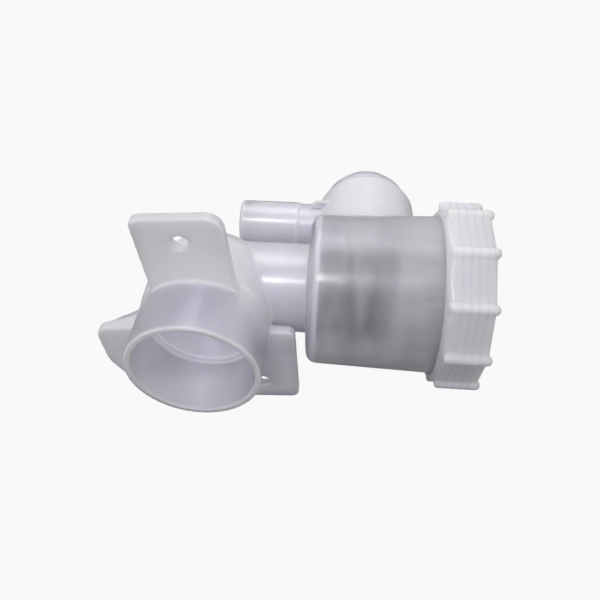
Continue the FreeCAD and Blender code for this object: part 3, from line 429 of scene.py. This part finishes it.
bodyFinish = naturalPolypropylene("naturalPolypropyleneBody", bodyPlastic)
capFinish = naturalPolypropylene("naturalPolypropyleneCap", capPlastic)
rubberFinish = opaqueFinish("mouldedEpdmRubber", epdmRubber)
acetalFinish = opaqueFinish("mouldedAcetal", acetal)
steelFinish = opaqueFinish("drawnStainlessSteel", springSteel)
print("materials made")

# The moulded body: socket, elbow, pipe, chamber, neck, outlet spigot, overflow port and lugs in one piece.

shell = {
    "socketRadius": 21.5, "socketWall": 2.0, "socketDepth": 20, "ledgeWidth": 2.0,
    "elbowStep": 0.3, "elbowWall": 2.0, "elbowFlat": 1.4, "elbowBoreFlat": 1.3,
    "pipeRadius": 15.5, "pipeWall": 2.0, "pipeEnd": 34.5,
    "chamberFace": 33.8, "chamberRadius": 25.7, "chamberDraft": 1.3, "chamberRound": 3.4,
    "chamberWall": 2.3, "cavityDraft": 0.5, "endWall": 2.2, "chamberSteps": 128,
    "seat": 37.0, "seatLip": 1.7,
    "neckStart": 77.5, "neckWall": 2.1, "mouth": 85.2, "threadStart": 79.0, "threadTurns": 2.2,
    "spigotPlace": 52.9, "spigotRadius": 16.0, "spigotFlare": 2.6, "spigotWall": 2.2, "spigotTaper": 2.8,
    "spigotBoreStart": 45, "shoulder": 81.8, "straightStart": 83.0, "leadStart": 88.5, "outlet": 93.2,
    "portRadius": 8.5, "portWall": 1.9, "portSink": 0.2, "portMouth": 5.2, "portLip": 1.2,
    "collarRise": 0.5, "collarLength": 22.0, "portSteps": 72,
    "webStart": 30.0, "webSlope": 4, "webSink": 1, "webTop": 12.5, "webThickness": 1.6,
    "voxel": 0.38, "smoothRounds": 8, "mostTriangles": 190000,
    "edgeRounds": 30, "deepestWall": 8.0,
}
lugs = {
    "face": 19.6, "thickness": 3.5, "tilt": 4.5, "halfWidth": 13.7, "corner": 2.6, "largeCorner": 5.0,
    "hole": 2.6, "holeToEnd": 9.0, "holeSteps": 40,
    "topEnd": 45.0,
    "sideEnd": 38.6, "sideDrop": 14.7, "sideCutLength": 5.0, "sideCutHeight": 9.8, "sideWebDepth": 21.0,
    "lowEnd": 39.1, "lowShift": 16.2, "lowTop": 3.2, "lowTaper": 1.4, "lowWebDepth": 2.6,
    "webThickness": 2.2,
}

socketBore = shell["socketRadius"] - shell["socketWall"]
ledgeRadius = socketBore - shell["ledgeWidth"]
elbowRadius = shell["socketRadius"] + shell["elbowStep"]
elbowBack = valveHeight + shell["pipeRadius"] + shell["elbowStep"]
pipeBore = shell["pipeRadius"] - shell["pipeWall"]
chamberWide = shell["chamberRadius"] + shell["chamberDraft"]
cavity = shell["chamberRadius"] - shell["chamberWall"]
cavityWide = cavity + shell["cavityDraft"]
neckRadius = cavityWide + shell["neckWall"]
spigotBore = shell["spigotRadius"] - shell["spigotWall"]
spigotMouth = shell["spigotRadius"] - shell["spigotTaper"]
portHeight = valveHeight + shell["chamberRadius"] + shell["portRadius"] - shell["portSink"]
lugBack = lugs["face"] + lugs["thickness"]

# Lug outlines lie square to the socket's axis: across and up, with each corner's rounding.
lugPlace = Matrix.Rotation(math.radians(-lugs["tilt"]), 4, "Y") @ Matrix.Translation(yAxis * lugs["face"])
half = lugs["halfWidth"]
sideTop = half - lugs["sideDrop"]
sideLow = -half - lugs["sideDrop"]
lowNear = lugs["lowShift"] - half
lowFar = lugs["lowShift"] + half
lugOutlines = [
    [(-half, 0, 0), (half, 0, 0), (half, lugs["topEnd"], lugs["largeCorner"]),
     (-half, lugs["topEnd"], lugs["corner"])],
    [(0, sideTop, 0), (-lugs["sideEnd"], sideTop, lugs["largeCorner"]),
     (-lugs["sideEnd"], sideLow + lugs["sideCutHeight"], lugs["corner"]),
     (lugs["sideCutLength"] - lugs["sideEnd"], sideLow, lugs["corner"]), (0, sideLow, 0)],
    [(lowNear, -lugs["lowTop"], 0), (lowNear, -lugs["lowEnd"], lugs["corner"]),
     (lowFar - lugs["lowTaper"], -lugs["lowEnd"], lugs["corner"]),
     (lowFar, -lugs["lowTop"], lugs["corner"])],
]
lugHoles = [  # across, up
    (0, lugs["topEnd"] - lugs["holeToEnd"]),
    (lugs["holeToEnd"] - lugs["sideEnd"], -lugs["sideDrop"]),
    (lugs["lowShift"], lugs["holeToEnd"] - lugs["lowEnd"]),
]
lugWebs = [  # tip across, level up, depth at the elbow
    (lugs["largeCorner"] - lugs["sideEnd"], sideTop, lugs["sideWebDepth"]),
    (lowFar - lugs["corner"], -lugs["lowTop"], lugs["lowWebDepth"]),
]


def lugPlate(outline):
    corners = [(Vector((across, 0, up)), rounding) for across, up, rounding in outline]
    return plate(corners, yAxis * lugs["thickness"], lugPlace)


def lugWeb(tip, level, depth):
    back = lugs["thickness"]
    corners = [(Vector((across, along, level)), 0)
               for across, along in ((tip, back), (0, back), (0, back + depth))]
    return plate(corners, -zAxis * lugs["webThickness"], lugPlace)


def lugHole(across, up):
    profile = [(-past, 0), (-past, lugs["hole"]),
               (lugs["thickness"] + past, lugs["hole"]), (lugs["thickness"] + past, 0)]
    return turnedAlongY(profile, lugPlace @ Vector((across, 0, up)), lugs["holeSteps"])


def portWeb():
    # a small upright web that carries the port beside the spigot's root
    low = shell["portRadius"] - shell["webSink"]
    near = portHeight - shell["webThickness"] / 2
    outline = [(shell["webStart"], low), (shell["spigotPlace"], low),
               (shell["spigotPlace"], shell["webTop"]),
               (shell["webStart"] + shell["webSlope"], shell["webTop"])]
    return plate([(Vector((along, near, up)), 0) for along, up in outline], yAxis * shell["webThickness"])


socketCentre = Vector((0, 0, 0))
spigotCentre = Vector((shell["spigotPlace"], 0, 0))
portCentre = Vector((0, portHeight, 0))
collarEnd = shell["portMouth"] + shell["collarLength"]
spigotRoot = shell["spigotRadius"] + shell["spigotFlare"]
collarRadius = shell["portRadius"] + shell["collarRise"]
chamber = turned([(shell["chamberFace"], 0),
                  (shell["chamberFace"], shell["chamberRadius"], shell["chamberRound"]),
                  (shell["neckStart"], chamberWide), (shell["neckStart"], neckRadius),
                  (shell["mouth"], neckRadius), (shell["mouth"], 0)], steps=shell["chamberSteps"])
pipe = turned([(0, 0), (0, shell["pipeRadius"]), (shell["pipeEnd"], shell["pipeRadius"]),
               (shell["pipeEnd"], 0)])
socket = turnedAlongY([(0, 0), (0, shell["socketRadius"]), (lugBack, shell["socketRadius"]),
                       (lugBack, elbowRadius), (elbowBack, elbowRadius, elbowRadius - shell["elbowFlat"]),
                       (elbowBack, 0)], socketCentre)
spigot = turnedAlongY([(valveHeight, 0), (valveHeight, spigotRoot), (shell["shoulder"], spigotRoot),
                       (shell["straightStart"], shell["spigotRadius"]),
                       (shell["leadStart"], shell["spigotRadius"]),
                       (shell["outlet"], spigotMouth), (shell["outlet"], 0)], spigotCentre)
port = turned([(shell["portMouth"], 0), (shell["portMouth"], collarRadius, shell["portLip"]),
               (collarEnd, collarRadius), (collarEnd, shell["portRadius"]),
               (shell["spigotPlace"], shell["portRadius"]), (shell["spigotPlace"], 0)],
              centre=portCentre, steps=shell["portSteps"])
neckThreadRoot = neckRadius - screwThread["sunk"]
neckThread = thread(shell["threadStart"], shell["threadTurns"], neckThreadRoot,
                    neckThreadRoot + screwThread["height"])
outer = [pipe, socket, spigot, port, neckThread]
outer += [lugPlate(outline) for outline in lugOutlines]
outer += [lugWeb(*web) for web in lugWebs]
outer.append(portWeb())

elbowBoreEnd = elbowBack - shell["elbowWall"]
cavityStart = shell["chamberFace"] + shell["endWall"]
mouthBore = spigotMouth - shell["spigotWall"]
portBore = shell["portRadius"] - shell["portWall"]
seatRadius = pipeBore + shell["seatLip"]
socketInside = turnedAlongY([(-past, 0), (-past, socketBore), (shell["socketDepth"], socketBore),
                             (shell["socketDepth"], ledgeRadius),
                             (elbowBoreEnd, ledgeRadius, ledgeRadius - shell["elbowBoreFlat"]),
                             (elbowBoreEnd, 0)], socketCentre)
pipeInside = turned([(0, 0), (0, pipeBore), (shell["seat"] + past, pipeBore), (shell["seat"] + past, 0)])
chamberInside = turned([(shell["seat"], 0), (shell["seat"], seatRadius), (cavityStart, seatRadius),
                        (cavityStart, cavity), (shell["mouth"] + past, cavityWide),
                        (shell["mouth"] + past, 0)])
spigotInside = turnedAlongY([(shell["spigotBoreStart"], 0), (shell["spigotBoreStart"], spigotBore),
                             (shell["leadStart"], spigotBore), (shell["outlet"], mouthBore),
                             (shell["outlet"] + past, mouthBore), (shell["outlet"] + past, 0)],
                            spigotCentre)
portInside = turned([(shell["portMouth"] - past, 0), (shell["portMouth"] - past, portBore),
                     (shell["spigotPlace"], portBore), (shell["spigotPlace"], 0)],
                    centre=portCentre, steps=shell["portSteps"])
inner = [socketInside, pipeInside, chamberInside, spigotInside, portInside]
inner += [lugHole(*place) for place in lugHoles]

bodyMesh = combined(combined(chamber, "UNION", outer), "DIFFERENCE", inner)
bodyMesh = moulded(bodyMesh, shell["voxel"], shell["smoothRounds"], shell["mostTriangles"])
markEdges(bodyMesh, shell["edgeRounds"])
markWalls(bodyMesh, shell["deepestWall"])
body = piece("mouldedBody", bodyMesh, bodyFinish)
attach(body, "housing")
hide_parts("valve_body")
print("moulded body made:", len(bodyMesh.polygons), "faces")

# The screw cap.

cap = {
    "corners": 11, "cornerRadius": 30.8, "firstCorner": 108.8, "skirt": 9.3, "face": 91.0, "wall": 2.2,
    "bevel": 2.6, "bevelDepth": 2.5, "bevelOver": 1, "bevelRoom": 4, "bevelSteps": 88,
    "threadRoom": 1.6, "threadStart": 78.0, "threadTurns": 3.6,
    "ribRadius": 1.7, "ribRise": 1.5, "ribOverhang": 1.1, "ribSetback": 1.2, "ribStartRound": 1.0,
    "ribEndRound": 1.4, "ribSteps": 32,
    "wellRadius": 9.5, "wellDepth": 6.0, "wellWall": 1.9, "rodHole": 3.25,
    "voxel": 0.38, "smoothRounds": 5, "mostTriangles": 150000, "edgeRounds": 16,
}
capBack = shell["mouth"] - cap["skirt"]
capBore = neckRadius + cap["threadRoom"]
capInner = cap["face"] - cap["wall"]
wellFloor = cap["face"] - cap["wellDepth"]
bossBack = wellFloor - cap["wall"]
bossRadius = cap["wellRadius"] + cap["wellWall"]


def aroundValve(degrees, radius, along):
    turn = math.radians(degrees)
    return valveAxis + Vector((along, radius * math.cos(turn), radius * math.sin(turn)))


def fingerRib(turn):
    start = capBack + cap["ribSetback"]
    end = cap["face"] + cap["ribOverhang"]
    radius = cap["ribRadius"]
    centre = aroundValve(turn, cap["cornerRadius"] + cap["ribRise"] - radius, 0)
    return turned([(start, 0), (start, radius, cap["ribStartRound"]), (end, radius, cap["ribEndRound"]),
                   (end, 0)], centre=centre, steps=cap["ribSteps"])


def rearBevel():
    # cuts the cap's rear end to a cone, and runs on past both of the cone's ends
    over = cap["bevelOver"]
    low = cap["cornerRadius"] - cap["bevelDepth"]
    rise = over * cap["bevelDepth"] / cap["bevel"]
    outside = cap["cornerRadius"] + cap["bevelRoom"]
    start = capBack - over
    end = capBack + cap["bevel"] + over
    return turned([(start, low - rise), (end, cap["cornerRadius"] + rise), (end, outside), (start, outside)],
                  closed=True, steps=cap["bevelSteps"])


cornerTurns = [cap["firstCorner"] + 360 * count / cap["corners"] for count in range(cap["corners"])]
facets = plate([(aroundValve(turn, cap["cornerRadius"], capBack), 0) for turn in cornerTurns],
               xAxis * (cap["face"] - capBack))
capInside = turned([(capBack - past, 0), (capBack - past, capBore), (capInner, capBore),
                    (capInner, bossRadius), (bossBack, bossRadius), (bossBack, 0)])
well = turned([(bossBack - past, 0), (bossBack - past, cap["rodHole"]), (wellFloor, cap["rodHole"]),
               (wellFloor, cap["wellRadius"]), (cap["face"] + past, cap["wellRadius"]),
               (cap["face"] + past, 0)])
capThreadRoot = capBore + screwThread["sunk"]
capThread = thread(cap["threadStart"], cap["threadTurns"], capThreadRoot,
                   capThreadRoot - screwThread["height"])
capMesh = combined(facets, "DIFFERENCE", [rearBevel()])
capMesh = combined(capMesh, "UNION", [fingerRib(turn) for turn in cornerTurns])
capMesh = combined(capMesh, "DIFFERENCE", [capInside, well])
capMesh = combined(capMesh, "UNION", [capThread])
capMesh = moulded(capMesh, cap["voxel"], cap["smoothRounds"], cap["mostTriangles"])
markEdges(capMesh, cap["edgeRounds"])
screwCap = piece("screwCap", capMesh, capFinish)
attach(screwCap, "cap")
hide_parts("screw_cap")
print("screw cap made:", len(capMesh.polygons), "faces")

# The rubber valve: nose, folded bellows and sealing rim in one piece.

bellows = {
    "noseRadius": 17.0, "noseChamfer": 0.8, "noseThickness": 4.0, "noseStep": 1.0,
    "edgeRound": 0.3, "backRound": 0.5,
    "wall": 1.2, "noseLink": 3.0, "folds": 7, "pitch": 5.2, "depth": 3.6, "foldRound": 0.55,
    "rimThickness": 2.0, "rimInset": 0.4, "lipLength": 1.6, "lipThickness": 1.6, "lipClearance": 0.4,
    "recessDepth": 2.3, "recessRadius": 5.2, "recessLip": 0.7, "recessHole": 4.4,
    "steps": 80,
}
noseFront = shell["seat"]
noseBack = noseFront + bellows["noseThickness"]
firstFold = noseBack + bellows["noseLink"]
foldRoot = bellows["noseRadius"] - bellows["noseStep"]
foldInside = foldRoot - bellows["wall"]
rimBack = shell["mouth"] + bellows["rimThickness"]
rimRadius = neckRadius - bellows["rimInset"]
lipEnd = shell["mouth"] - bellows["lipLength"]
lipRadius = cavityWide - bellows["lipClearance"]
lipInner = lipRadius - bellows["lipThickness"]
recess = noseBack - bellows["recessDepth"]
recessLip = noseBack - bellows["recessLip"]


def foldLine(root):
    # the zigzag of the folds, from the nose's side to the rim's
    line = []
    for count in range(bellows["folds"]):
        valley = firstFold + count * bellows["pitch"]
        line += [(valley, root, bellows["foldRound"]),
                 (valley + bellows["pitch"] / 2, root + bellows["depth"], bellows["foldRound"])]
    return line + [(firstFold + bellows["folds"] * bellows["pitch"], root, bellows["foldRound"])]


bellowsProfile = [(noseFront, 0), (noseFront, bellows["noseRadius"] - bellows["noseChamfer"]),
                  (noseFront + bellows["noseChamfer"], bellows["noseRadius"], bellows["edgeRound"]),
                  (noseBack, bellows["noseRadius"], bellows["backRound"]),
                  (noseBack, foldRoot, bellows["edgeRound"])]
bellowsProfile += foldLine(foldRoot)
bellowsProfile += [(shell["mouth"], foldRoot), (shell["mouth"], lipInner), (lipEnd, lipInner),
                   (lipEnd, lipRadius), (shell["mouth"], lipRadius), (shell["mouth"], rimRadius),
                   (rimBack, rimRadius), (rimBack, foldInside)]
bellowsProfile += foldLine(foldInside)[::-1]
bellowsProfile += [(noseBack, foldInside), (noseBack, bellows["recessHole"]),
                   (recessLip, bellows["recessHole"]), (recessLip, bellows["recessRadius"]),
                   (recess, bellows["recessRadius"]), (recess, 0)]
bellowsMesh = turned(bellowsProfile, steps=bellows["steps"])
rubberValve = piece("rubberBellows", bellowsMesh, rubberFinish)
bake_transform(rubberValve)
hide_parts("rubber_bellows")
print("rubber valve made:", len(bellowsMesh.polygons), "faces")

# The closing spring, whose end turns lie close.

closingCoil = {
    "start": 44.1, "end": 87.2, "radius": 12.6, "wire": 1.4, "turns": 8, "endPitch": 1.9,
    "section": 10, "stepsPerTurn": 40,
}


def coilTube(coil, stretches):
    # the wire's round section turned about the valve's axis, in stretches of (turns, pitch)
    form = bmesh.new()
    place = Matrix.Translation(valveAxis + xAxis * coil["start"] + yAxis * coil["radius"])
    bmesh.ops.create_circle(form, segments=coil["section"], radius=coil["wire"] / 2, matrix=place)
    first = form.verts[:] + form.edges[:]
    last = first
    for turns, pitch in stretches:
        made = bmesh.ops.spin(form, geom=last, cent=valveAxis, axis=xAxis, angle=math.tau * turns,
                              steps=round(turns * coil["stepsPerTurn"]),
                              dvec=xAxis * (pitch / coil["stepsPerTurn"]))
        last = made["geom_last"]
    for end in (first, last):
        rim = [part for part in end if isinstance(part, bmesh.types.BMEdge)]
        bmesh.ops.contextual_create(form, geom=rim)
    bmesh.ops.remove_doubles(form, verts=form.verts[:], dist=mergeDistance)
    bmesh.ops.recalc_face_normals(form, faces=form.faces[:])
    return toMesh(form)


middleTurns = closingCoil["turns"] - 2
middleLength = closingCoil["end"] - closingCoil["start"] - 2 * closingCoil["endPitch"]
closingMesh = coilTube(closingCoil, [(1, closingCoil["endPitch"]), (middleTurns, middleLength / middleTurns),
                                     (1, closingCoil["endPitch"])])
closingSpring = piece("closingSpring", closingMesh, steelFinish)
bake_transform(closingSpring)
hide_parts("outer_spring")

# The overrun spring, with a loop at each end, about the anchor pin and through the rod's hole.

overrunCoil = {
    "start": 47.4, "end": 58.4, "radius": 2.6, "wire": 0.8, "turns": 6, "section": 10, "stepsPerTurn": 28,
    "pin": 45.8, "hook": 59.8, "loopRadius": 1.3,
}


def endLoop(place, turnAxis):
    # one closed ring of the same wire
    thick = overrunCoil["wire"] / 2
    corners = [math.tau * count / overrunCoil["section"] for count in range(overrunCoil["section"])]
    profile = [(thick * math.sin(turn), overrunCoil["loopRadius"] + thick * math.cos(turn))
               for turn in corners]
    return turned(profile, centre=valveAxis + xAxis * place, axis=turnAxis, side=xAxis,
                  steps=overrunCoil["stepsPerTurn"], closed=True)


def joined(meshes):
    form = bmesh.new()
    for mesh in meshes:
        form.from_mesh(mesh)
    return toMesh(form)


overrunPitch = (overrunCoil["end"] - overrunCoil["start"]) / overrunCoil["turns"]
loopInset = overrunCoil["loopRadius"] - overrunCoil["wire"] / 2
overrunMesh = joined([coilTube(overrunCoil, [(overrunCoil["turns"], overrunPitch)]),
                      endLoop(overrunCoil["pin"] + loopInset, yAxis),
                      endLoop(overrunCoil["hook"] - loopInset, zAxis)])
overrunSpring = piece("overrunSpring", overrunMesh, steelFinish)
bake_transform(overrunSpring)
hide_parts("inner_spring")
print("springs made")

# CAD pieces that keep their shape.

kept = {
    "guide_sleeve": acetalFinish, "guide_bush": acetalFinish, "press_ring": acetalFinish,
    "pull_rod": acetalFinish, "anchor_pin": steelFinish, "spring_washer": steelFinish,
}
for node, finish in kept.items():
    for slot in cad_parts[node].material_slots:
        slot.material = finish
print("CAD pieces dressed")

# Floor, light and camera, in metres.

studio = {
    "floorSize": 6.0, "floorGap": 0.0003, "floorColour": "#5A5A60", "floorShadow": 0.06,
    "seenThrough": 0.45, "seenInGloss": 0.25,  # how much of the white background walls and gloss show
    "worldStrength": 0.62, "keyPower": 2.1, "keySize": 0.5, "keyPlace": (-0.10, 0.45, 0.82),
    "fillPower": 2.4, "fillSize": 0.12, "fillPlace": (-0.10, -0.42, 0.85),
    "aim": (0.03, 0.04, 0.0),
}
view = {
    "place": (0.042827, -0.111213, 0.152887), "turn": (43.6161, 0.2544, 4.4374), "lens": 36.794,
    "sensor": 36, "nearest": 0.005,
}


def seenDirectly(tree):
    # 1 for rays that show the background to the eye, less through clear walls and in gloss
    path = addNode(tree, "ShaderNodeLightPath").outputs
    gloss = addNode(tree, "ShaderNodeMath", operation="MULTIPLY", inputs={1: studio["seenInGloss"]},
                    links={0: path["Is Glossy Ray"]})
    first = addNode(tree, "ShaderNodeMath", operation="MAXIMUM",
                    links={0: path["Is Camera Ray"], 1: gloss.outputs[0]})
    through = addNode(tree, "ShaderNodeMath", operation="MULTIPLY", inputs={1: studio["seenThrough"]},
                      links={0: path["Is Transmission Ray"]})
    return addNode(tree, "ShaderNodeMath", operation="MAXIMUM",
                   links={0: first.outputs[0], 1: through.outputs[0]}).outputs[0]


def paleFloor():
    # matt card that looks almost white to the camera and keeps the object's shadow
    material, tree = newMaterial("paleFloor")
    matt = addNode(tree, "ShaderNodeBsdfDiffuse", inputs={"Color": fromHex(studio["floorColour"])})
    white = addNode(tree, "ShaderNodeEmission", inputs={"Color": (1, 1, 1, 1), "Strength": 1.0})
    share = addNode(tree, "ShaderNodeMath", operation="MULTIPLY", inputs={1: 1 - studio["floorShadow"]},
                    links={0: seenDirectly(tree)})
    mixed = addNode(tree, "ShaderNodeMixShader",
                    links={0: share.outputs[0], 1: matt.outputs[0], 2: white.outputs[0]})
    return finishWith(material, tree, mixed)


def areaLight(name, power, size, place):
    lamp = bpy.data.lights.new(name, "AREA")
    lamp.energy = power
    lamp.shape = "DISK"
    lamp.size = size
    holder = bpy.data.objects.new(name, lamp)
    holder.location = place
    holder.rotation_euler = (Vector(studio["aim"]) - Vector(place)).to_track_quat("-Z", "Y").to_euler()
    scene.collection.objects.link(holder)


floorForm = bmesh.new()
lowest = cadBox[0][2]
bmesh.ops.create_grid(floorForm, x_segments=1, y_segments=1, size=studio["floorSize"] / 2,
                      matrix=Matrix.Translation((0, 0, lowest - studio["floorGap"])))
floor = bpy.data.objects.new("floor", toMesh(floorForm))
floor.data.materials.append(paleFloor())
scene.collection.objects.link(floor)

world = bpy.data.worlds.new("studioWorld")
world.use_nodes = True
scene.world = world
background = world.node_tree.nodes["Background"]
background.inputs["Color"].default_value = (1, 1, 1, 1)
level = addNode(world.node_tree, "ShaderNodeMapRange", links={"Value": seenDirectly(world.node_tree)},
                inputs={"To Min": studio["worldStrength"], "To Max": 1.0})
world.node_tree.links.new(level.outputs["Result"], background.inputs["Strength"])
areaLight("keyLight", studio["keyPower"], studio["keySize"], studio["keyPlace"])
areaLight("fillLight", studio["fillPower"], studio["fillSize"], studio["fillPlace"])

lens = bpy.data.cameras.new("camera")
lens.sensor_width = view["sensor"]
lens.lens = view["lens"]
lens.clip_start = view["nearest"]
camera = bpy.data.objects.new("camera", lens)
camera.location = view["place"]
camera.rotation_euler = [math.radians(angle) for angle in view["turn"]]
scene.collection.objects.link(camera)
scene.camera = camera
print("studio made")
